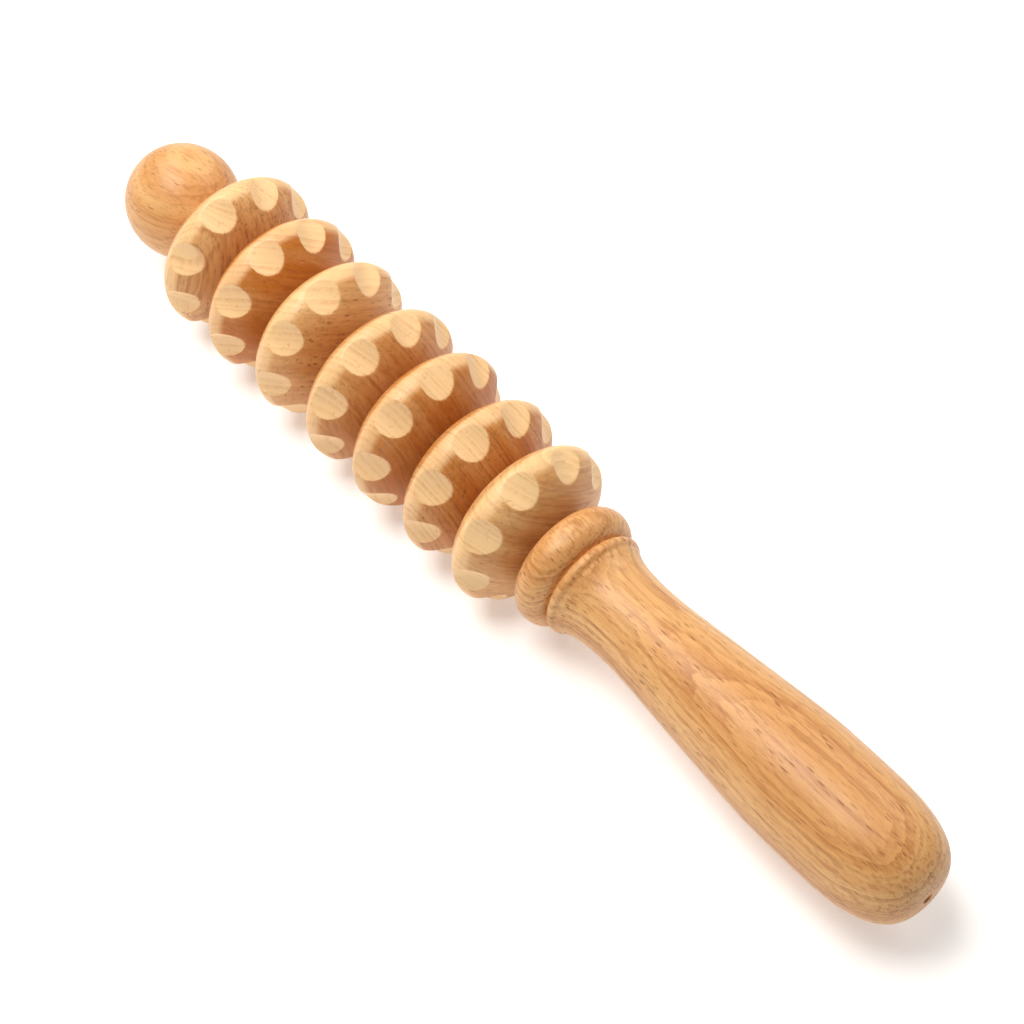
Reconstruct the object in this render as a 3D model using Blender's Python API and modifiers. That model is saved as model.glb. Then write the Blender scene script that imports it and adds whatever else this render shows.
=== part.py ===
"""Wooden roller massage stick.

Seven scalloped beech discs spin on one wooden axle between a turned ball and a long turned handle. The stick
lies on a surface on its discs, with the axle level: +X runs from the ball to the handle and +Z is up. The
origin is the middle of the bounding box's bottom face.

All sizes below are millimetres. A place along the axle is a distance from the middle of the last disc, the
one beside the handle, and it grows towards the handle.
"""
from math import asin, cos, degrees, pi, radians, sin, sqrt, tau

import bmesh
import bpy
from mathutils import Matrix, Vector

MM = 0.001
COLLECTION = "roller_massage_stick"

# Scalloped discs: a flattened ball with flat hub faces, a bore, and flutes from the rim down the face that looks at the handle
DISC_RADIUS = 30.0
DISC_BULGE = 12.6           # half thickness that the curved faces would reach on the axle
HUB_HALF = 11.9             # half thickness between the flat hub faces
DISC_BORE_RADIUS = 5.5
DISC_STEPS = 36
DISC_ARC_SPANS = 12
HUB_GAPS = (2.2, 2.6, 3.8, 1.0, 2.2, 0.5)     # play between neighbouring hubs, as the discs lie
FLUTES = 9
FLUTE_START = -1.5          # a flute starts this far from the middle of the rim, along the axle
FLUTE_TIP = 8.2             # and ends this far from it, on the face towards the handle
FLUTE_HOLLOW = 12.0         # radius of a flute's hollow section
FLUTE_ROD_LENGTH = 24.0
FLUTE_SIDES = 56
DISC_TURNS = (15.5, 14.5, 7.5, 20.5, -4.0, 12.0, 13.0)     # degrees about +X, as the discs lie

# Handle, one turned piece. Its own distances start at its front face, the one beside the last disc
HANDLE_FRONT = 15.0
HANDLE_LENGTH = 159.2
HANDLE_BORE_RADIUS = 5.3
HANDLE_BORE_DEPTH = 30.0
HANDLE_STEPS = 32
COLLAR_RADIUS = 22.3
COLLAR_ROUND = 7.2          # radius of the big bead's own section
COLLAR_BACK_ANGLE = 12.0    # where the big bead ends in the groove, above the axle's direction
COLLAR_SPANS = 9
BEAD_CENTRE = 16.6
BEAD_RADIUS = 19.0
BEAD_ROUND = 2.2
BEAD_ARC = (25.0, 165.0)    # degrees from the axle's direction
BEAD_SPANS = 4
GRIP = ((19.6, 17.4), (24.0, 15.9), (32.5, 15.0), (44.0, 15.2), (62.0, 16.8), (84.0, 18.8),
        (104.0, 20.4), (121.0, 20.6))
GRIP_SPANS = 2
DOME_RADIUS = 20.6
DOME_LENGTH = 38.2
DOME_BLUNTNESS = 3.0       # 2 would be an ellipse
DOME_STOP = 88.0            # degrees from the axle's direction, just short of the grip's last point
DOME_SPANS = 9
END_FLAT_RADIUS = 4.6       # small flat where the piece was parted off
END_DIMPLE_RADIUS = 1.9     # dimple that the lathe's centre left
END_DIMPLE_DEPTH = 1.2

# Ball
BALL_CENTRE = -187.6
BALL_RADIUS = 20.7
BALL_FLAT_RADIUS = 7.5      # flat face towards the first disc
BALL_BORE_RADIUS = 5.3
BALL_BORE_DEPTH = 25.0
BALL_STEPS = 28
BALL_ARC_SPANS = 11

# Axle, a plain dowel glued into the ball and the handle
AXLE_RADIUS = 5.0
AXLE_SIDES = 24
AXLE_END_GAP = 0.5
AXLE_CHAMFER = 0.6

# Linear colours of the wood
PALE_BEECH = (0.74, 0.42, 0.17)
GOLDEN_BEECH = (0.68, 0.34, 0.12)
AMBER_BEECH = (0.58, 0.24, 0.07)
HANDLE_BEECH = (0.66, 0.32, 0.11)
BALL_BEECH = (0.66, 0.36, 0.15)
DOWEL_BEECH = (0.60, 0.33, 0.14)
DISC_COLOURS = (PALE_BEECH, AMBER_BEECH, PALE_BEECH, GOLDEN_BEECH, AMBER_BEECH, AMBER_BEECH, PALE_BEECH)


def clear_scene():
    for item in list(bpy.data.objects):
        bpy.data.objects.remove(item, do_unlink=True)


def new_collection(name):
    collection = bpy.data.collections.new(name)
    bpy.context.scene.collection.children.link(collection)
    return collection


def wood(name, colour):
    material = bpy.data.materials.new(name)
    material.use_nodes = True
    shader = material.node_tree.nodes["Principled BSDF"]
    shader.inputs["Base Color"].default_value = (*colour, 1.0)
    shader.inputs["Roughness"].default_value = 0.42
    shader.inputs["Metallic"].default_value = 0.0
    return material


def arc(centre, along, out, start, stop, spans):
    """Points on an ellipse with half axes along and out; degrees from the axle's direction, outwards."""
    points = []
    for i in range(spans + 1):
        angle = radians(start + (stop - start) * i / spans)
        points.append((centre[0] + along * cos(angle), centre[1] + out * sin(angle)))
    return points


def dome():
    """The handle's rounded end, blunter than an ellipse, from the flat to the grip."""
    power = 2.0 / DOME_BLUNTNESS
    start = asin((END_FLAT_RADIUS / DOME_RADIUS) ** (1.0 / power))
    stop = radians(DOME_STOP)
    centre = HANDLE_LENGTH - DOME_LENGTH * cos(start) ** power
    points = []
    for i in range(DOME_SPANS + 1):
        angle = start + (stop - start) * i / DOME_SPANS
        points.append((centre + DOME_LENGTH * cos(angle) ** power, DOME_RADIUS * sin(angle) ** power))
    return points


def smooth_through(points, spans):
    """A Catmull-Rom curve through points, each stretch cut into a number of spans."""
    ends = [points[0], *points, points[-1]]
    curve = []
    for a, b, c, d in zip(ends, ends[1:], ends[2:], ends[3:]):
        for i in range(spans):
            t = i / spans
            curve.append(tuple(0.5 * (2 * b[k] + (c[k] - a[k]) * t
                                      + (2 * a[k] - 5 * b[k] + 4 * c[k] - d[k]) * t ** 2
                                      + (3 * b[k] - a[k] - 3 * c[k] + d[k]) * t ** 3) for k in (0, 1)))
    curve.append(points[-1])
    return curve


def turned(name, outline, steps, closed):
    """A solid turned about its own X axis from (along, out) points.

    The outer side of the outline runs towards -X. A closed outline comes back along a bore; an open one
    starts and ends on the axis.
    """
    mesh = bpy.data.meshes.new(name)
    shape = bmesh.new()
    corners = [shape.verts.new((along * MM, 0.0, out * MM)) for along, out in outline]
    for first, second in zip(corners, corners[1:]):
        shape.edges.new((first, second))
    if closed:
        shape.edges.new((corners[-1], corners[0]))
    shape.to_mesh(mesh)
    shape.free()
    item = bpy.data.objects.new(name, mesh)
    bpy.context.scene.collection.objects.link(item)
    screw = item.modifiers.new("turn", "SCREW")
    screw.axis = "X"
    screw.steps = steps
    screw.render_steps = steps
    screw.use_merge_vertices = True
    screw.merge_threshold = 0.00001
    screw.use_smooth_shade = True
    return item


def disc_outline():
    """Flat hub face, round outer side, flat hub face, bore."""
    hub_edge_angle = degrees(asin(sqrt(1.0 - (HUB_HALF / DISC_BULGE) ** 2)))
    round_side = arc((0.0, 0.0), DISC_BULGE, DISC_RADIUS, hub_edge_angle, 180.0 - hub_edge_angle,
                     DISC_ARC_SPANS)
    return [(HUB_HALF, DISC_BORE_RADIUS), *round_side, (-HUB_HALF, DISC_BORE_RADIUS)]


def handle_outline():
    """From the dimple in the rounded end, over the grip and the beads, to the blind bore in the front."""
    points = [(HANDLE_LENGTH - END_DIMPLE_DEPTH, 0.0), (HANDLE_LENGTH, END_DIMPLE_RADIUS)]
    points += dome()
    points += smooth_through(list(reversed(GRIP)), GRIP_SPANS)
    points += arc((BEAD_CENTRE, BEAD_RADIUS - BEAD_ROUND), BEAD_ROUND, BEAD_ROUND, *BEAD_ARC, BEAD_SPANS)
    points += arc((COLLAR_ROUND, COLLAR_RADIUS - COLLAR_ROUND), COLLAR_ROUND, COLLAR_ROUND,
                  COLLAR_BACK_ANGLE, 180.0, COLLAR_SPANS)
    points += [(0.0, HANDLE_BORE_RADIUS), (HANDLE_BORE_DEPTH, HANDLE_BORE_RADIUS), (HANDLE_BORE_DEPTH, 0.0)]
    return points


def ball_flat():
    """How far the ball's flat face lies from the ball's centre."""
    return sqrt(BALL_RADIUS ** 2 - BALL_FLAT_RADIUS ** 2)


def ball_outline():
    """From the bottom of the blind bore, out to the flat face and round the ball."""
    flat_edge_angle = degrees(asin(BALL_FLAT_RADIUS / BALL_RADIUS))
    bore_bottom = ball_flat() - BALL_BORE_DEPTH
    points = [(bore_bottom, 0.0), (bore_bottom, BALL_BORE_RADIUS), (ball_flat(), BALL_BORE_RADIUS)]
    points += arc((0.0, 0.0), BALL_RADIUS, BALL_RADIUS, flat_edge_angle, 180.0, BALL_ARC_SPANS)
    points[-1] = (-BALL_RADIUS, 0.0)
    return points


def face_point(along):
    """The point of a disc's plain outline this far from the middle of its rim."""
    return Vector((along, 0.0, DISC_RADIUS * sqrt(1.0 - (along / DISC_BULGE) ** 2)))


def add_flute_rod(shape, angle):
    """A rod whose lowest line is a flute's floor: a straight line from the rim down the face.

    The angle is about the axle, from straight up.
    """
    start = face_point(FLUTE_START)
    tip = face_point(FLUTE_TIP)
    floor = (tip - start).normalized()
    outward = Vector((-floor.z, 0.0, floor.x))
    middle = (start + tip) / 2 + outward * FLUTE_HOLLOW
    sideways = Vector((0.0, 1.0, 0.0))
    turn = Matrix.Rotation(-angle, 3, "X")
    rings = []
    for end in (-FLUTE_ROD_LENGTH / 2, FLUTE_ROD_LENGTH / 2):
        ring = []
        for k in range(FLUTE_SIDES):
            around = tau * k / FLUTE_SIDES
            corner = middle + floor * end + (outward * cos(around) + sideways * sin(around)) * FLUTE_HOLLOW
            ring.append(shape.verts.new(turn @ corner * MM))
        rings.append(ring)
    for k in range(FLUTE_SIDES):
        shape.faces.new((rings[0][k - 1], rings[0][k], rings[1][k], rings[1][k - 1]))
    shape.faces.new(rings[0])
    shape.faces.new(rings[1])


def flute_cutter(collection, first):
    """Three rods a third of a turn apart, so that they don't meet."""
    mesh = bpy.data.meshes.new("flute_cutter")
    shape = bmesh.new()
    for third in range(3):
        add_flute_rod(shape, tau * (first / FLUTES + third / 3))
    bmesh.ops.recalc_face_normals(shape, faces=shape.faces)
    shape.to_mesh(mesh)
    shape.free()
    cutter = bpy.data.objects.new("flute_cutter", mesh)
    collection.objects.link(cutter)
    cutter.hide_render = True
    cutter.display_type = "WIRE"
    return cutter


def scalloped_disc_mesh(cutters):
    """The mesh that all the discs share: a turned blank with its flutes cut."""
    blank = turned("disc_blank", disc_outline(), DISC_STEPS, closed=True)
    for cutter in cutters:
        cut = blank.modifiers.new("flutes", "BOOLEAN")
        cut.operation = "DIFFERENCE"
        cut.solver = "EXACT"
        cut.object = cutter
    evaluated = blank.evaluated_get(bpy.context.evaluated_depsgraph_get())
    mesh = bpy.data.meshes.new_from_object(evaluated)
    mesh.name = "scalloped_disc"
    mesh.materials.clear()
    mesh.shade_smooth()
    mesh.set_sharp_from_angle(angle=radians(30))
    bpy.data.objects.remove(blank, do_unlink=True)
    return mesh


def disc_places():
    """Where each disc's middle lies along the axle, from the ball's side to the handle's."""
    places = [0.0]
    for gap in reversed(HUB_GAPS):
        places.insert(0, places[0] - 2 * HUB_HALF - gap)
    return places


def axle_mesh(length):
    mesh = bpy.data.meshes.new("axle")
    shape = bmesh.new()
    bmesh.ops.create_cone(shape, cap_ends=True, segments=AXLE_SIDES, radius1=AXLE_RADIUS * MM,
                          radius2=AXLE_RADIUS * MM, depth=length * MM, matrix=Matrix.Rotation(pi / 2, 4, "Y"))
    shape.to_mesh(mesh)
    shape.free()
    mesh.shade_smooth()
    mesh.set_sharp_from_angle(angle=radians(30))
    return mesh


def make_axle():
    """A dowel from the bottom of the ball's bore to the bottom of the handle's."""
    start = BALL_CENTRE + ball_flat() - BALL_BORE_DEPTH + AXLE_END_GAP
    stop = HANDLE_FRONT + HANDLE_BORE_DEPTH - AXLE_END_GAP
    item = bpy.data.objects.new("axle", axle_mesh(stop - start))
    chamfer = item.modifiers.new("chamfer", "BEVEL")
    chamfer.width = AXLE_CHAMFER * MM
    chamfer.segments = 1
    chamfer.limit_method = "ANGLE"
    return item, (start + stop) / 2


def place(item, collection, rig, along, turn, material):
    """Hang a piece on the axle line, in its collection, with a material of its own."""
    for other in list(item.users_collection):
        other.objects.unlink(item)
    collection.objects.link(item)
    item.parent = rig
    item.location = (along * MM, 0.0, 0.0)
    item.rotation_euler = (radians(turn), 0.0, 0.0)
    if not item.material_slots:
        item.data.materials.append(None)
    item.material_slots[0].link = "OBJECT"
    item.material_slots[0].material = material


def set_down(rig, pieces):
    """Move the axle line so that the stick stands on the origin, halfway along its length."""
    bpy.context.view_layer.update()
    depsgraph = bpy.context.evaluated_depsgraph_get()
    corners = []
    for piece in pieces:
        evaluated = piece.evaluated_get(depsgraph)
        mesh = evaluated.to_mesh()
        corners += [evaluated.matrix_world @ vertex.co for vertex in mesh.vertices]
        evaluated.to_mesh_clear()
    left = min(corner.x for corner in corners)
    right = max(corner.x for corner in corners)
    lowest = min(corner.z for corner in corners)
    rig.location = (-(left + right) / 2, 0.0, -lowest)


def main():
    clear_scene()
    parts = new_collection(COLLECTION)
    cutters = new_collection("cutters")
    rig = bpy.data.objects.new("axle_line", None)
    parts.objects.link(rig)

    handle = turned("handle", handle_outline(), HANDLE_STEPS, closed=False)
    place(handle, parts, rig, HANDLE_FRONT, 0.0, wood("handle_beech", HANDLE_BEECH))
    ball = turned("end_ball", ball_outline(), BALL_STEPS, closed=False)
    place(ball, parts, rig, BALL_CENTRE, 0.0, wood("ball_beech", BALL_BEECH))
    axle, middle = make_axle()
    place(axle, parts, rig, middle, 0.0, wood("dowel_beech", DOWEL_BEECH))

    pieces = [handle, ball, axle]
    mesh = scalloped_disc_mesh([flute_cutter(cutters, first) for first in range(FLUTES // 3)])
    for number, (along, turn, colour) in enumerate(zip(disc_places(), DISC_TURNS, DISC_COLOURS), start=1):
        disc = bpy.data.objects.new(f"disc_{number}", mesh)
        place(disc, parts, rig, along, turn, wood(f"disc_{number}_beech", colour))
        pieces.append(disc)
    set_down(rig, pieces)


main()
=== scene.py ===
"""The looks of the wooden roller massage stick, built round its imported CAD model.

Every piece is turned beech: seven scalloped discs, the long handle, the ball and the dowel that they sit on.
Lengths are millimetres unless a comment says otherwise; the frame itself is in metres.
"""

from math import asin, cos, pi, radians, sin, sqrt, tau

import bmesh
import bpy
import numpy as np
from mathutils import Matrix, Vector


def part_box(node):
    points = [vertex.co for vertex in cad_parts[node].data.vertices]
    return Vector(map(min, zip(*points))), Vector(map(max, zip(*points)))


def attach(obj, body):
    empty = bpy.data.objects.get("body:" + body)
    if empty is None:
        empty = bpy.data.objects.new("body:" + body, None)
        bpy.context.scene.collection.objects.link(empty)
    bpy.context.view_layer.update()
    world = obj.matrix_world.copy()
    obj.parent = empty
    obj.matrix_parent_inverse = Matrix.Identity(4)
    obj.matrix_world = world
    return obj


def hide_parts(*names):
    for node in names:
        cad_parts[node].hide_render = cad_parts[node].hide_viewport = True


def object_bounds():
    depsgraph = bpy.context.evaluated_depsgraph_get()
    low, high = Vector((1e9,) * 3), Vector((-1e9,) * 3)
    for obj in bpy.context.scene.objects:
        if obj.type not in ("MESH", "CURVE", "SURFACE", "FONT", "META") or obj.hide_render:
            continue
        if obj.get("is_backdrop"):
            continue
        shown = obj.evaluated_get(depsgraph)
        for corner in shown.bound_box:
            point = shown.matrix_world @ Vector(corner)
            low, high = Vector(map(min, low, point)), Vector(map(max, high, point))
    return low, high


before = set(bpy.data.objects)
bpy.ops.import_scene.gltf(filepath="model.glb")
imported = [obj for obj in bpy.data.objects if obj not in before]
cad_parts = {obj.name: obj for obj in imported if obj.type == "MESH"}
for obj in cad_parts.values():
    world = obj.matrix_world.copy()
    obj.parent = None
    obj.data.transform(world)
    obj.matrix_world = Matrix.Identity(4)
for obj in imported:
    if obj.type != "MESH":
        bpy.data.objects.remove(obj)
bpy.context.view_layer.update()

MM = 0.001

# Scalloped discs, the same sizes as the CAD model's
DISC_RADIUS = 30.0
DISC_BULGE = 12.6           # half thickness that the curved faces would reach on the axle
HUB_HALF = 11.9             # half thickness between the flat hub faces
HUB_EDGE = 0.3              # bevel of the bore's mouth, and the last loop's distance from the hub face's edge
HUB_LOOP_RADIUS = 7.5       # a loop in the middle of the hub face
DISC_BORE_RADIUS = 5.5
FLUTES = 9
FLUTE_START = -1.5          # a flute starts this far from the middle of the rim, along the axle
FLUTE_TIP = 8.2             # and ends this far from it, on the face towards the handle
FLUTE_HOLLOW = 12.0         # radius of a flute's hollow section
FLUTE_EDGE = 0.10           # how softly its edge is rounded
LEAST_STEEPNESS = 0.5       # keeps the depth finite where a face would run along the flute
LIT_RIM_BAND = 3.3              # painted highlight: the rim's crown, where the light falls, is painted pale this far from its middle
LIT_RIM_FADE = 0.8              # and fades out over this distance on each side of there, and inside it
LIT_RIM_PALENESS = 0.65         # how strong that painted highlight is, as a part of the flutes' paleness
DISC_TURNS = (15.5, 14.5, 7.5, 20.5, -4.0, 12.0, 13.0)     # degrees about +X, as the discs lie
DISC_COLUMNS = FLUTES * 52
FACE_ROWS = 20
RIM_ROWS = 72
RIM_START = 43.0            # degrees from the axle's direction where the rows lie closer

# The turned pieces
HANDLE_COLUMNS = 224
HANDLE_ROW = 0.6            # spacing of the rows along the handle's outline
HANDLE_FACE_ROWS = 12
END_FLAT_RADIUS = 4.6       # small flat where the handle was parted off
END_FLAT_ROWS = 8
DIMPLE_RADIUS = 1.9         # dimple that the lathe's centre left
DIMPLE_DEPTH = 1.2
DIMPLE_ROWS = 10
BALL_FLAT_RADIUS = 7.5
BALL_FLAT_ROWS = 6
BALL_ROWS = 96
BALL_COLUMNS = 160
AXLE_COLUMNS = 64
AXLE_CHAMFER = 0.6          # length of the cone at each end of the dowel
AXLE_TIP = 0.9              # radius of the dowel's end face, as a part of its own radius
GLUE_GAP = 0.3              # between the dowel and its blind bores
BOTTOM_GAP = 0.5            # between the dowel's ends and the bottoms of its bores
BORE_MARGIN = 0.05          # CAD corners this close to the bore aren't on the handle's outside
CORNER_GAP = 0.1            # CAD corners closer than this are taken as one

# Camera, at the photographed angle
AZIMUTH = 49.4
ELEVATION = 54.0
CAMERA_DISTANCE = 718.7
CAMERA_LENS = 78.6          # on Blender's 36 mm sensor
AIM_BEFORE_DISC_7 = 6.9     # the camera aims at the axle this far from the middle of the last disc
AIM_BELOW = 0.7             # and this far below it, as the camera sees it
VIEW_TILT = 64.7            # degrees about the axle from straight up to the way that the camera sees as up
ROLL = -0.18

# Studio. Lights: name, direction from the stick, distance and size in metres, power in watts, colour
SOFTBOXES = (
    ("top_softbox", (-0.22, -0.22, 0.95), 1.1, 0.6, 12.2, (1.0, 0.985, 0.96)),
    ("left_softbox", (-0.73, 0.05, 0.68), 0.9, 0.35, 2.3, (1.0, 0.985, 0.96)),
    ("back_softbox", (0.05, 0.80, 0.75), 1.0, 0.6, 3.4, (1.0, 0.99, 0.975)),
)
SKY_WHITE = (1.0, 0.99, 0.98, 1.0)
SKY_STRENGTH = 0.16
TABLE_REACH = 4.0           # metres from the middle to each side
TABLE_WHITE = (0.86, 0.85, 0.84, 1.0)
TABLE_GLOW = (1.0, 0.985, 0.97, 1.0)
TABLE_GLOW_STRENGTH = 0.34

# Beech: colours, and the sizes of its marks along the grain, across the growth rings and along the rings
PALE = (0.80, 0.470, 0.195)
AMBER = (0.585, 0.225, 0.052)
RING_BROWN = (0.37, 0.122, 0.027)
FLECK_BROWN = (0.20, 0.062, 0.017)
# the flutes' paleness: partly the paler colour of freshly cut wood, partly painted highlight where the flutes
# face the light
FRESH_CUT_AND_HIGHLIGHT = (0.94, 0.64, 0.325)
RING_BENDS = (70.0, 16.0, 16.0)
RING_RIPPLES = (16.0, 9.0, 6.0)
RING_BREAKS = (7.0, 1.2, 1.2)
BEND_DEPTH = 5.0            # how far the bends and the ripples move a ring
RIPPLE_DEPTH = 1.3
FIBRES = (18.0, 0.9, 0.9)
FINE_FIBRES = (4.5, 0.22, 0.22)
STRIPES = (45.0, 1.5, 1.5)
PATCHES = (26.0, 11.0, 8.0)
RAY_FLECKS = (8.0, 2.2, 1.3)
RAY_ZONES = (12.0, 5.0, 4.0)
PORE_TICKS = (5.0, 1.6, 0.8)
DEEPER = 0.45               # how much further towards amber the wood's darker bands are
RELIEF_HEIGHT = 0.12        # of the grain that can be felt
RELIEF_STRENGTH = 0.5
NEXT_PIECE = Vector((37.0, 5.3, 0.0))       # each piece's wood lies this far from the last one's in the tree

# Each disc's beech, from the ball to the handle. The planes of its rings hold the axle's direction, and
# tilt is how far they lie turned about it, in degrees, as the camera sees them. See beech() for the rest
DISC_LOOKS = (
    # tilt, tone, ring_gap, rings, flecks, streaks
    (-43.0, 0.22, 1.9, 0.50, 1.0, 0.8),
    (21.0, 0.80, 2.6, 0.45, 0.4, 0.7),
    (33.0, 0.20, 3.2, 0.30, 1.0, 0.5),
    (-10.0, 0.42, 2.2, 0.50, 0.4, 0.7),
    (-13.0, 0.72, 2.0, 0.60, 0.3, 0.7),
    (-9.0, 0.62, 1.6, 0.85, 0.7, 0.7),
    (28.0, 0.08, 1.9, 0.40, 0.3, 0.6),
)
DISC_PITH = 160.0           # how far away the middle of the tree was
DISC_WAVES = 0.35
HANDLE_HEART = (0.012, -0.33, 0.944)
BALL_GRAIN = (0.9, 0.25, -0.1)
BALL_HEART = (-0.2, -0.6, 0.8)
AXLE_HEART = (0.0, 0.5, 0.8)


# ---------------------------------------------------------------- shapes

def mesh_from_rows(name, rows, ring):
    """A mesh from a grid of points, each row a closed loop about the axle line.

    With ring set, the last row joins the first one, as on a piece with a bore.
    """
    count, columns, _ = rows.shape
    index = np.arange(count * columns).reshape(count, columns)
    if ring:
        index = np.vstack([index, index[:1]])
    near, far = index[:-1], index[1:]
    faces = np.stack([near, far, np.roll(far, -1, 1), np.roll(near, -1, 1)], axis=-1).reshape(-1, 4)
    mesh = bpy.data.meshes.new(name)
    mesh.from_pydata(rows.reshape(-1, 3).tolist(), [], faces.tolist())
    return mesh


def finish_mesh(mesh, close_ends):
    """Turn every face outwards. With close_ends, the loops of no radius become points first."""
    shape = bmesh.new()
    shape.from_mesh(mesh)
    if close_ends:
        bmesh.ops.remove_doubles(shape, verts=shape.verts, dist=0.001 * MM)
    bmesh.ops.recalc_face_normals(shape, faces=shape.faces)
    shape.to_mesh(mesh)
    shape.free()
    mesh.shade_smooth()


def turned_mesh(name, outline, centre, columns):
    """A piece turned about the axle line through centre, from its (along, out) outline in metres."""
    angles = np.arange(columns) * tau / columns
    along = outline[:, :1] + np.zeros(columns)
    across = outline[:, 1:] * np.sin(angles)
    up = outline[:, 1:] * np.cos(angles)
    rows = np.stack([along + centre[0], across + centre[1], up + centre[2]], axis=-1)
    mesh = mesh_from_rows(name, rows, ring=False)
    finish_mesh(mesh, close_ends=True)
    return mesh


def smooth_through(points, spacing):
    """A smooth curve through points, cut about every spacing."""
    steps = np.linalg.norm(np.diff(points, axis=0), axis=1)
    slopes = np.diff(points, axis=0) / steps[:, None]
    before, after = steps[:-1, None], steps[1:, None]
    tangents = (after * slopes[:-1] + before * slopes[1:]) / (before + after)
    tangents = np.vstack([slopes[:1], tangents, slopes[-1:]])
    curve = []
    for i, step in enumerate(steps):
        count = max(1, round(step / spacing))
        t = (np.arange(count) / count)[:, None]
        place = (2 * t ** 3 - 3 * t ** 2 + 1) * points[i]
        place = place + (t ** 3 - 2 * t ** 2 + t) * step * tangents[i]
        place = place + (3 * t ** 2 - 2 * t ** 3) * points[i + 1]
        place = place + (t ** 3 - t ** 2) * step * tangents[i + 1]
        curve.append(place)
    return np.vstack([*curve, points[-1:]])


def straight(start, stop, count):
    """Points from start up to stop, without stop itself."""
    return np.linspace(start, stop, count, endpoint=False)


def on_axle(along):
    """The point on the axle's middle line at along."""
    low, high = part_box("axle")
    return (along, (low.y + high.y) / 2, (low.z + high.z) / 2)


def axle_radius():
    low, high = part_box("axle")
    return (high.z - low.z) / 2


def cad_outline(node, centre, inner):
    """The (along, out) corners of a turned CAD node outside radius inner, in order along the axle."""
    corners = np.array([vertex.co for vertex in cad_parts[node].data.vertices])
    along = corners[:, 0] - centre[0]
    out = np.hypot(corners[:, 1] - centre[1], corners[:, 2] - centre[2])
    pairs = np.unique(np.round(np.stack([along, out], axis=-1), 6), axis=0)
    pairs = pairs[pairs[:, 1] > inner]
    gaps = np.linalg.norm(np.diff(pairs, axis=0), axis=1)
    return pairs[np.concatenate([[True], gaps > CORNER_GAP * MM])]


def handle_mesh():
    """The handle: front face, beads, grip and rounded end, with the dimple, and the blind bore inside."""
    low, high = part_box("handle")
    centre = on_axle(low.x)
    bore = axle_radius() + GLUE_GAP * MM
    bore_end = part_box("axle")[1].x + BOTTOM_GAP * MM - centre[0]
    end = high.x - centre[0]
    corners = cad_outline("handle", centre, bore + BORE_MARGIN * MM)
    outside = smooth_through(np.vstack([corners, (end, END_FLAT_RADIUS * MM)]), HANDLE_ROW * MM)
    face = straight((0.0, bore), (0.0, outside[0, 1]), HANDLE_FACE_ROWS)
    flat = straight((end, END_FLAT_RADIUS * MM), (end, DIMPLE_RADIUS * MM), END_FLAT_ROWS)
    turn = np.linspace(0.0, pi / 2, DIMPLE_ROWS)
    dimple = np.stack([end - DIMPLE_DEPTH * MM * np.sin(turn), DIMPLE_RADIUS * MM * np.cos(turn)], axis=-1)
    inside = np.array([(bore_end, 0.0), (bore_end, bore)])
    outline = np.vstack([inside, face, outside, flat, dimple])
    return turned_mesh("handle_turned", outline, centre, HANDLE_COLUMNS)


def ball_mesh():
    """The ball, with the flat face towards the first disc and the blind bore inside."""
    low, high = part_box("end_ball")
    centre = on_axle(low.x)
    radius = (high.z - low.z) / 2
    bore = axle_radius() + GLUE_GAP * MM
    bore_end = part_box("axle")[0].x - BOTTOM_GAP * MM - centre[0]
    flat_angle = asin(BALL_FLAT_RADIUS * MM / radius)
    turn = np.linspace(pi, flat_angle, BALL_ROWS)
    round_side = np.stack([radius + radius * np.cos(turn), radius * np.sin(turn)], axis=-1)
    round_side[0, 1] = 0.0
    face = radius + radius * cos(flat_angle)
    flat = straight((face, BALL_FLAT_RADIUS * MM), (face, bore), BALL_FLAT_ROWS)
    inside = np.array([(face, bore), (bore_end, bore), (bore_end, 0.0)])
    outline = np.vstack([round_side, flat[1:], inside])
    return turned_mesh("ball_turned", outline, centre, BALL_COLUMNS)


def axle_mesh():
    """The dowel, a little pointed at both ends."""
    low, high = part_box("axle")
    radius = axle_radius()
    length = high.x - low.x
    chamfer = AXLE_CHAMFER * MM
    outline = np.array([(0.0, 0.0), (0.0, radius * AXLE_TIP), (chamfer, radius),
                        (length - chamfer, radius), (length, radius * AXLE_TIP), (length, 0.0)])
    return turned_mesh("axle_turned", outline, on_axle(low.x), AXLE_COLUMNS)


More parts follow.
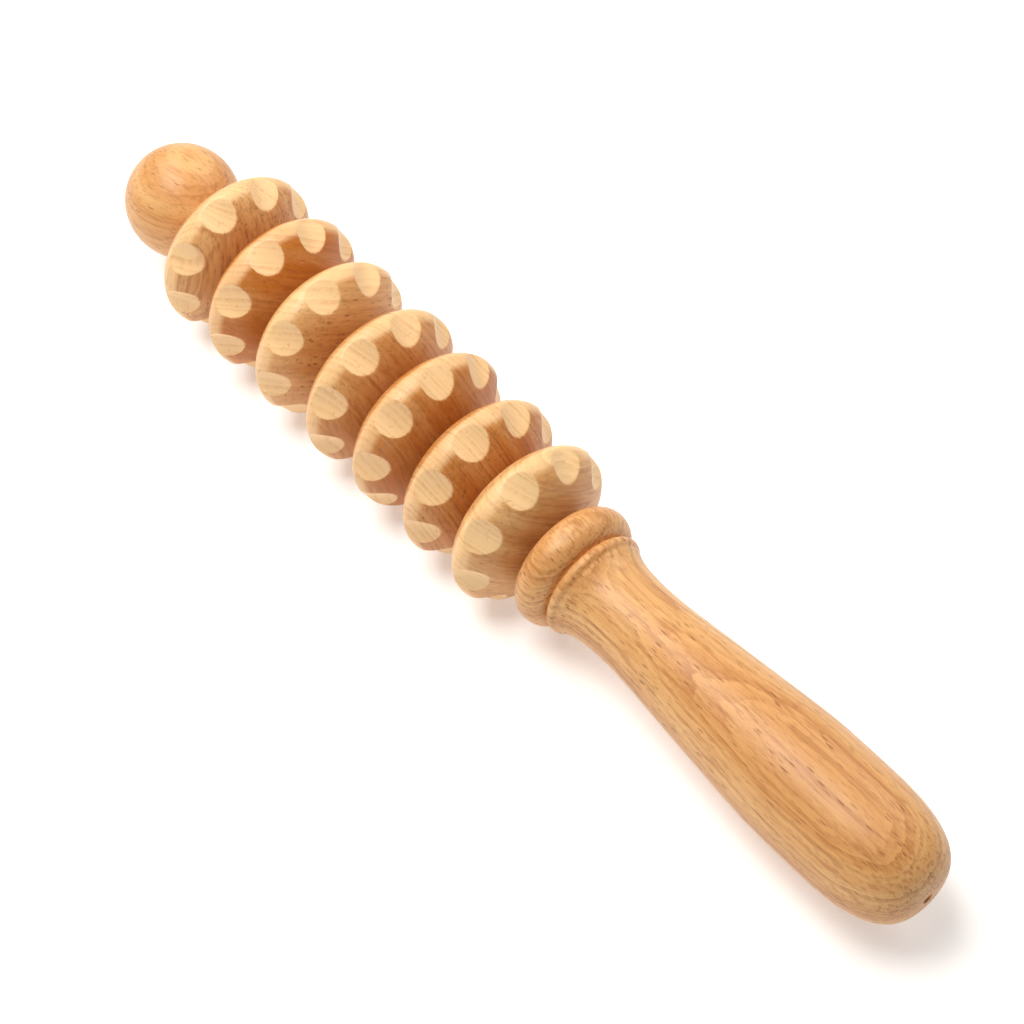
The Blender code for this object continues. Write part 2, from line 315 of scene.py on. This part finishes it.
def flute_depth(along, out, normal, angle):
    """How deep the flutes lie below a disc's plain face, in millimetres, and how much paleness is painted
    there:
    partly fresh-cut wood and partly painted highlight on the flutes, and only painted highlight on the rim's
    crown.

    along, out and normal describe the plain disc's outline, row by row. angle starts at a flute's middle.
    A flute's floor is a straight line from the rim down the face, and its section is a shallow arc.
    """
    pitch = tau / FLUTES
    off = ((angle + pitch / 2) % pitch - pitch / 2)[None, :]
    start_out, tip_out = (DISC_RADIUS * sqrt(1.0 - (x / DISC_BULGE) ** 2) for x in (FLUTE_START, FLUTE_TIP))
    length = sqrt((FLUTE_TIP - FLUTE_START) ** 2 + (start_out - tip_out) ** 2)
    outward = ((start_out - tip_out) / length, (FLUTE_TIP - FLUTE_START) / length)
    along = along[:, None]
    height = (along - FLUTE_START) * outward[0] + (out[:, None] * np.cos(off) - start_out) * outward[1]
    across = np.minimum(np.abs(out[:, None] * np.sin(off)), FLUTE_HOLLOW)
    below = height - FLUTE_HOLLOW + np.sqrt(FLUTE_HOLLOW ** 2 - across ** 2)
    steepness = normal[0][:, None] * outward[0] + normal[1][:, None] * np.cos(off) * outward[1]
    depth = 0.5 * (below + np.sqrt(below ** 2 + FLUTE_EDGE ** 2)) / np.maximum(steepness, LEAST_STEEPNESS)
    fluted = np.clip(0.5 + below / FLUTE_EDGE, 0.0, 1.0)
    # painted highlight: a pale band round the rim's crown, where the light falls
    rim = np.clip((LIT_RIM_BAND + LIT_RIM_FADE - np.abs(along)) / (2 * LIT_RIM_FADE), 0.0, 1.0)
    return depth, np.maximum(fluted, rim * LIT_RIM_PALENESS)


def hub_rows(hub_radius):
    """The loops of the flat hub face towards +X: (along, out) for every column, from the bore outwards."""
    along = np.array([HUB_HALF - HUB_EDGE, HUB_HALF, HUB_HALF, HUB_HALF])
    out = np.array([DISC_BORE_RADIUS, DISC_BORE_RADIUS + HUB_EDGE, HUB_LOOP_RADIUS, hub_radius - HUB_EDGE])
    return along[:, None] + np.zeros(DISC_COLUMNS), out[:, None] + np.zeros(DISC_COLUMNS)


def disc_mesh(name, centre, turn):
    """A flattened ball with flat hub faces, a bore, and softly edged flutes across its rim."""
    hub_angle = asin(sqrt(1.0 - (HUB_HALF / DISC_BULGE) ** 2))
    rim_angle = radians(RIM_START)
    side = straight(hub_angle, rim_angle, FACE_ROWS)
    rim = straight(rim_angle, pi - rim_angle, RIM_ROWS)
    other_side = np.linspace(pi - rim_angle, pi - hub_angle, FACE_ROWS)
    place = np.concatenate([side, rim, other_side])
    along = DISC_BULGE * np.cos(place)
    out = DISC_RADIUS * np.sin(place)
    angles = np.arange(DISC_COLUMNS) * tau / DISC_COLUMNS
    normal = np.stack([along / DISC_BULGE ** 2, out / DISC_RADIUS ** 2])
    normal /= np.linalg.norm(normal, axis=0)
    depth, fluted = flute_depth(along, out, normal, angles - radians(turn))

    hub_along, hub_out = hub_rows(DISC_RADIUS * sin(hub_angle))
    along = np.vstack([hub_along, along[:, None] - depth * normal[0][:, None], -hub_along[::-1]])
    radius = np.vstack([hub_out, out[:, None] - depth * normal[1][:, None], hub_out[::-1]])
    plain = np.zeros_like(hub_out)
    fluted = np.vstack([plain, fluted, plain])
    rows = np.stack([along, -radius * np.sin(angles), radius * np.cos(angles)], axis=-1) * MM
    mesh = mesh_from_rows(name, rows + np.array(centre), ring=True)
    # the flute attribute holds the painted paleness: on the flutes partly fresh-cut wood and partly painted
    # highlight, on the rim's crown painted highlight
    marks = mesh.attributes.new("flute", "FLOAT", "POINT")
    marks.data.foreach_set("value", fluted.ravel().astype(np.float32))
    finish_mesh(mesh, close_ends=False)
    return mesh


# ---------------------------------------------------------------- beech

class Wood:
    """Builds the node tree of one beech material.

    grain is the way the fibres run. heart is the way from the bark to the middle of the tree, across the
    growth rings. Both are directions in the frame.
    """

    def __init__(self, name, grain, heart, seed):
        self.material = bpy.data.materials.new(name)
        self.material.use_nodes = True
        self.tree = self.material.node_tree
        self.shader = self.tree.nodes["Principled BSDF"]
        grain = Vector(grain).normalized()
        heart = Vector(heart)
        heart = (heart - grain * heart.dot(grain)).normalized()
        self.axes = (grain, heart, grain.cross(heart))
        self.offset = NEXT_PIECE * seed
        self.where = self.wood_place()

    def link(self, value, socket):
        if isinstance(value, bpy.types.NodeSocket):
            self.tree.links.new(value, socket)
        else:
            socket.default_value = value

    def math(self, operation, a, b, c=0.0):
        node = self.tree.nodes.new("ShaderNodeMath")
        node.operation = operation
        for value, socket in zip((a, b, c), node.inputs):
            self.link(value, socket)
        return node.outputs[0]

    def fraction(self, value):
        node = self.tree.nodes.new("ShaderNodeMath")
        node.operation = "FRACT"
        self.link(value, node.inputs[0])
        return node.outputs[0]

    def vector(self, operation, a, b):
        node = self.tree.nodes.new("ShaderNodeVectorMath")
        node.operation = operation
        self.link(a, node.inputs[0])
        self.link(b, node.inputs[1])
        return node.outputs["Value" if operation == "DOT_PRODUCT" else "Vector"]

    def wood_place(self):
        """The place in the wood, in millimetres: along the grain, across the rings, along the rings."""
        place = self.tree.nodes.new("ShaderNodeTexCoord").outputs["Object"]
        combined = self.tree.nodes.new("ShaderNodeCombineXYZ")
        for axis, shift, socket in zip(self.axes, self.offset, combined.inputs):
            along = self.vector("DOT_PRODUCT", place, axis / MM)
            self.link(self.math("ADD", along, shift), socket)
        return combined.outputs[0]

    def stretched(self, lengths):
        """The wood's place, with one unit for each of the lengths along its three axes."""
        return self.vector("MULTIPLY", self.where, [1.0 / length for length in lengths])

    def noise(self, lengths, detail, roughness=0.5, distortion=0.0):
        node = self.tree.nodes.new("ShaderNodeTexNoise")
        self.link(self.stretched(lengths), node.inputs["Vector"])
        node.inputs["Scale"].default_value = 1.0
        node.inputs["Detail"].default_value = detail
        node.inputs["Roughness"].default_value = roughness
        node.inputs["Distortion"].default_value = distortion
        return node.outputs["Fac"]

    def noise_of_ring(self, ring, pace, detail=1.0):
        """A value that wanders with the ring's number, faster for a larger pace."""
        node = self.tree.nodes.new("ShaderNodeTexNoise")
        node.noise_dimensions = "1D"
        self.link(self.math("MULTIPLY", ring, pace), node.inputs["W"])
        node.inputs["Scale"].default_value = 1.0
        node.inputs["Detail"].default_value = detail
        return node.outputs["Fac"]

    def spots(self, lengths, small, large):
        """Spindle-shaped spots, one a cell: 1 inside, 0 outside."""
        node = self.tree.nodes.new("ShaderNodeTexVoronoi")
        self.link(self.stretched(lengths), node.inputs["Vector"])
        node.inputs["Scale"].default_value = 1.0
        return self.between(node.outputs["Distance"], large, small)

    def between(self, value, start, stop):
        """0 at start, 1 at stop, smooth between them and flat beyond."""
        node = self.tree.nodes.new("ShaderNodeMapRange")
        node.interpolation_type = "SMOOTHSTEP"
        self.link(value, node.inputs["Value"])
        node.inputs["From Min"].default_value = start
        node.inputs["From Max"].default_value = stop
        return node.outputs["Result"]

    def mix(self, amount, a, b):
        """Colour a where amount is 0, and b where it is 1."""
        node = self.tree.nodes.new("ShaderNodeMix")
        node.data_type = "RGBA"
        self.link(amount, node.inputs["Factor"])
        for value, socket in zip((a, b), (node.inputs["A"], node.inputs["B"])):
            self.link((*value, 1.0) if isinstance(value, tuple) else value, socket)
        return node.outputs["Result"]

    def stain(self, base, mask, strength, colour):
        """base with colour laid over it, by strength where mask is 1."""
        return self.mix(self.math("MULTIPLY", mask, strength), base, colour)

    def attribute(self, name):
        node = self.tree.nodes.new("ShaderNodeAttribute")
        node.attribute_name = name
        return node.outputs["Fac"]


def between_colours(a, b, amount):
    return tuple(x + (y - x) * amount for x, y in zip(a, b))


def growth_rings(wood, ring_gap, pith, waves):
    """How much each place is dark late wood, from 0 to 1, and a value that wanders from ring to ring."""
    split = wood.tree.nodes.new("ShaderNodeSeparateXYZ")
    wood.link(wood.where, split.inputs[0])
    _, across, along_ring = split.outputs
    curve = wood.math("DIVIDE", wood.math("MULTIPLY", along_ring, along_ring), 2.0 * pith)
    depth = wood.math("ADD", across, curve)
    depth = wood.math("MULTIPLY_ADD", wood.noise(RING_BENDS, detail=2.0), BEND_DEPTH * waves, depth)
    ripples = wood.noise(RING_RIPPLES, detail=3.0, roughness=0.55)
    depth = wood.math("MULTIPLY_ADD", ripples, RIPPLE_DEPTH * waves, depth)
    ring = wood.math("DIVIDE", depth, ring_gap)
    ring = wood.math("MULTIPLY_ADD", wood.noise_of_ring(ring, 0.6), 1.3, ring)

    phase = wood.fraction(ring)
    late = wood.math("MULTIPLY", wood.between(phase, 0.15, 0.85), wood.between(phase, 1.0, 0.90))
    strength = wood.between(wood.noise_of_ring(ring, 0.43), 0.30, 0.66)
    late = wood.math("MULTIPLY", late, wood.math("MULTIPLY_ADD", strength, 0.8, 0.2))
    breaks = wood.noise(RING_BREAKS, detail=3.0, roughness=0.6)
    whole = wood.between(breaks, 0.40, 0.60)
    late = wood.math("MULTIPLY", late, wood.math("MULTIPLY_ADD", whole, 0.6, 0.4))
    return late, wood.noise_of_ring(ring, 0.21, detail=2.0)


def ray_flecks(wood):
    """The short dark spindles of beech, gathered in zones."""
    zones = wood.between(wood.noise(RAY_ZONES, detail=2.0), 0.40, 0.60)
    return wood.math("MULTIPLY", wood.spots(RAY_FLECKS, 0.12, 0.27), zones)


def add_relief(wood, fine, fibres, late, rays):
    """The grain that can be felt: fibres stand proud, late wood and flecks lie lower."""
    relief = wood.math("MULTIPLY_ADD", fine, 0.5, wood.math("MULTIPLY", fibres, 0.7))
    relief = wood.math("SUBTRACT", relief, wood.math("MULTIPLY", late, 0.35))
    relief = wood.math("SUBTRACT", relief, wood.math("MULTIPLY", rays, 0.9))
    bump = wood.tree.nodes.new("ShaderNodeBump")
    bump.inputs["Strength"].default_value = RELIEF_STRENGTH
    bump.inputs["Distance"].default_value = RELIEF_HEIGHT * MM
    wood.link(relief, bump.inputs["Height"])
    wood.link(bump.outputs["Normal"], wood.shader.inputs["Normal"])


def beech(name, grain, heart, seed, tone, ring_gap, rings, flecks=0.5, streaks=0.5, pith=70.0, waves=1.0,
          fluted=False):
    """Beech of one piece: growth rings, fibre streaks, ray flecks and pores, in the wood's own directions.

    tone runs from 0, pale straw, to 1, amber. ring_gap is the distance from ring to ring, pith how far away
    the middle of the tree was, and waves how much the rings waver. rings, flecks and streaks say how strong
    each mark is. A fluted piece is paler by its flute attribute: partly the fresh-cut wood's own paler
    colour, partly painted highlight on its flutes, and a band of painted highlight on its rim's crown.
    """
    wood = Wood(name, grain, heart, seed)
    late, band = growth_rings(wood, ring_gap, pith, waves)
    rays = ray_flecks(wood)
    ticks = wood.spots(PORE_TICKS, 0.12, 0.32)
    fibres = wood.noise(FIBRES, detail=4.0, roughness=0.65)
    fine = wood.noise(FINE_FIBRES, detail=3.0, roughness=0.7, distortion=0.6)
    stripes = wood.noise(STRIPES, detail=3.0, roughness=0.55)
    patches = wood.noise(PATCHES, detail=3.0)

    pale = between_colours(PALE, AMBER, tone)
    deep = between_colours(PALE, AMBER, tone + DEEPER)
    base = wood.mix(wood.between(band, 0.36, 0.64), pale, deep)
    stains = (
        # mask, strength, colour
        (wood.between(patches, 0.45, 0.70), 0.5, deep),
        (late, rings, RING_BROWN),
        (wood.between(fibres, 0.52, 0.74), 0.42 * streaks, RING_BROWN),
        (wood.between(fibres, 0.46, 0.26), 0.42 * streaks, PALE),
        (wood.between(stripes, 0.50, 0.66), 0.55 * streaks, RING_BROWN),
        (wood.between(fine, 0.55, 0.75), 0.26, RING_BROWN),
        (ticks, 0.30 * flecks, FLECK_BROWN),
        (rays, 0.62 * flecks, FLECK_BROWN),
    )
    for mask, strength, colour in stains:
        base = wood.stain(base, mask, strength, colour)
    if fluted:
        # the flutes are painted paler, partly as fresh-cut wood and partly as painted highlight; the rim's
        # crown is painted paler as painted highlight
        fresh_and_highlight = wood.stain(FRESH_CUT_AND_HIGHLIGHT, wood.math("MAXIMUM", late, rays), 0.36, AMBER)
        base = wood.stain(base, wood.attribute("flute"), 0.88, fresh_and_highlight)
    wood.link(base, wood.shader.inputs["Base Color"])

    rough = wood.math("MULTIPLY_ADD", fibres, 0.16, 0.32)
    wood.link(wood.math("MULTIPLY_ADD", rays, 0.12, rough), wood.shader.inputs["Roughness"])
    wood.shader.inputs["IOR"].default_value = 1.46
    wood.shader.inputs["Specular IOR Level"].default_value = 0.42
    add_relief(wood, fine, fibres, late, rays)
    return wood.material


def handle_wood():
    return beech("handle_wood", (1.0, 0.0, 0.0), HANDLE_HEART, 11, tone=0.10, ring_gap=1.7, rings=0.60,
                 flecks=1.0, streaks=0.8, pith=90.0)


def ball_wood():
    return beech("ball_wood", BALL_GRAIN, BALL_HEART, 12, tone=0.14, ring_gap=2.6, rings=0.35,
                 flecks=0.8, streaks=0.6, pith=50.0)


def axle_wood():
    return beech("axle_wood", (1.0, 0.0, 0.0), AXLE_HEART, 13, tone=0.5, ring_gap=2.2, rings=0.4)


def disc_wood(number):
    tilt, tone, ring_gap, rings, flecks, streaks = DISC_LOOKS[number - 1]
    turn = radians(VIEW_TILT - tilt)
    heart = Vector((0.0, sin(turn), cos(turn)))
    grain = heart.cross(Vector((1.0, 0.0, 0.0)))
    return beech(f"disc_{number}_wood", grain, heart, number, tone, ring_gap, rings, flecks, streaks,
                 pith=DISC_PITH, waves=DISC_WAVES, fluted=True)


# ---------------------------------------------------------------- pieces

def add_piece(name, mesh, body, node, material):
    """A piece that stands for a CAD node and moves with its body."""
    piece = bpy.data.objects.new(name, mesh)
    bpy.context.scene.collection.objects.link(piece)
    mesh.materials.append(material)
    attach(piece, body)
    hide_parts(node)


def add_disc(number, turn):
    node = f"disc_{number}"
    mesh = disc_mesh(f"{node}_turned", disc_centre(node), turn)
    add_piece(f"{node}_shape", mesh, f"{node}_body", node, disc_wood(number))


def disc_centre(node):
    low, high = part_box(node)
    return on_axle((low.x + high.x) / 2)


# ---------------------------------------------------------------- studio

def camera_axes():
    """The camera's right, up and back directions."""
    turn, tilt, roll = radians(AZIMUTH), radians(ELEVATION), radians(ROLL)
    level = Vector((cos(turn), sin(turn), 0.0))
    back = Vector((sin(turn) * cos(tilt), -cos(turn) * cos(tilt), sin(tilt)))
    upright = back.cross(level)
    right = level * cos(roll) + upright * sin(roll)
    return right, back.cross(right), back


def camera_aim():
    """The point that the camera and the lights look at, near the last disc."""
    view_up = Vector((0.0, sin(radians(VIEW_TILT)), cos(radians(VIEW_TILT))))
    aim = Vector(disc_centre("disc_7"))
    aim.x -= AIM_BEFORE_DISC_7 * MM
    return aim - view_up * AIM_BELOW * MM


def add_camera(aim):
    data = bpy.data.cameras.new("camera")
    data.lens = CAMERA_LENS
    camera = bpy.data.objects.new("camera", data)
    bpy.context.scene.collection.objects.link(camera)
    right, up, back = camera_axes()
    turned = Matrix((right, up, back)).transposed().to_4x4()
    camera.matrix_world = Matrix.Translation(aim + back * CAMERA_DISTANCE * MM) @ turned
    bpy.context.scene.camera = camera


def add_softbox(name, direction, distance, size, power, colour, aim):
    """A square soft light that points at aim."""
    data = bpy.data.lights.new(name, "AREA")
    data.shape = "SQUARE"
    data.size = size
    data.energy = power
    data.color = colour
    light = bpy.data.objects.new(name, data)
    bpy.context.scene.collection.objects.link(light)
    direction = Vector(direction).normalized()
    light.location = aim + direction * distance
    light.rotation_euler = direction.to_track_quat("Z", "Y").to_euler()


def add_world():
    world = bpy.data.worlds.new("studio")
    world.use_nodes = True
    background = world.node_tree.nodes["Background"]
    background.inputs["Color"].default_value = SKY_WHITE
    background.inputs["Strength"].default_value = SKY_STRENGTH
    bpy.context.scene.world = world


def table_white():
    material = bpy.data.materials.new("white_table")
    material.use_nodes = True
    shader = material.node_tree.nodes["Principled BSDF"]
    shader.inputs["Base Color"].default_value = TABLE_WHITE
    shader.inputs["Roughness"].default_value = 0.9
    shader.inputs["Specular IOR Level"].default_value = 0.1
    shader.inputs["Emission Color"].default_value = TABLE_GLOW
    shader.inputs["Emission Strength"].default_value = TABLE_GLOW_STRENGTH
    return material


def add_floor(level):
    """A wide white table top."""
    corners = [(x * TABLE_REACH, y * TABLE_REACH, level) for x, y in ((-1, -1), (1, -1), (1, 1), (-1, 1))]
    mesh = bpy.data.meshes.new("floor")
    mesh.from_pydata(corners, [], [(0, 1, 2, 3)])
    mesh.materials.append(table_white())
    floor = bpy.data.objects.new("floor", mesh)
    bpy.context.scene.collection.objects.link(floor)
    floor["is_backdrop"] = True


# ---------------------------------------------------------------- the stick

add_piece("handle_shape", handle_mesh(), "core", "handle", handle_wood())
add_piece("ball_shape", ball_mesh(), "core", "end_ball", ball_wood())
add_piece("axle_shape", axle_mesh(), "core", "axle", axle_wood())
for number, turn in enumerate(DISC_TURNS, start=1):
    add_disc(number, turn)

aim = camera_aim()
add_camera(aim)
add_world()
for softbox in SOFTBOXES:
    add_softbox(*softbox, aim)
add_floor(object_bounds()[0][2])
bpy.context.scene.view_settings.view_transform = "Standard"
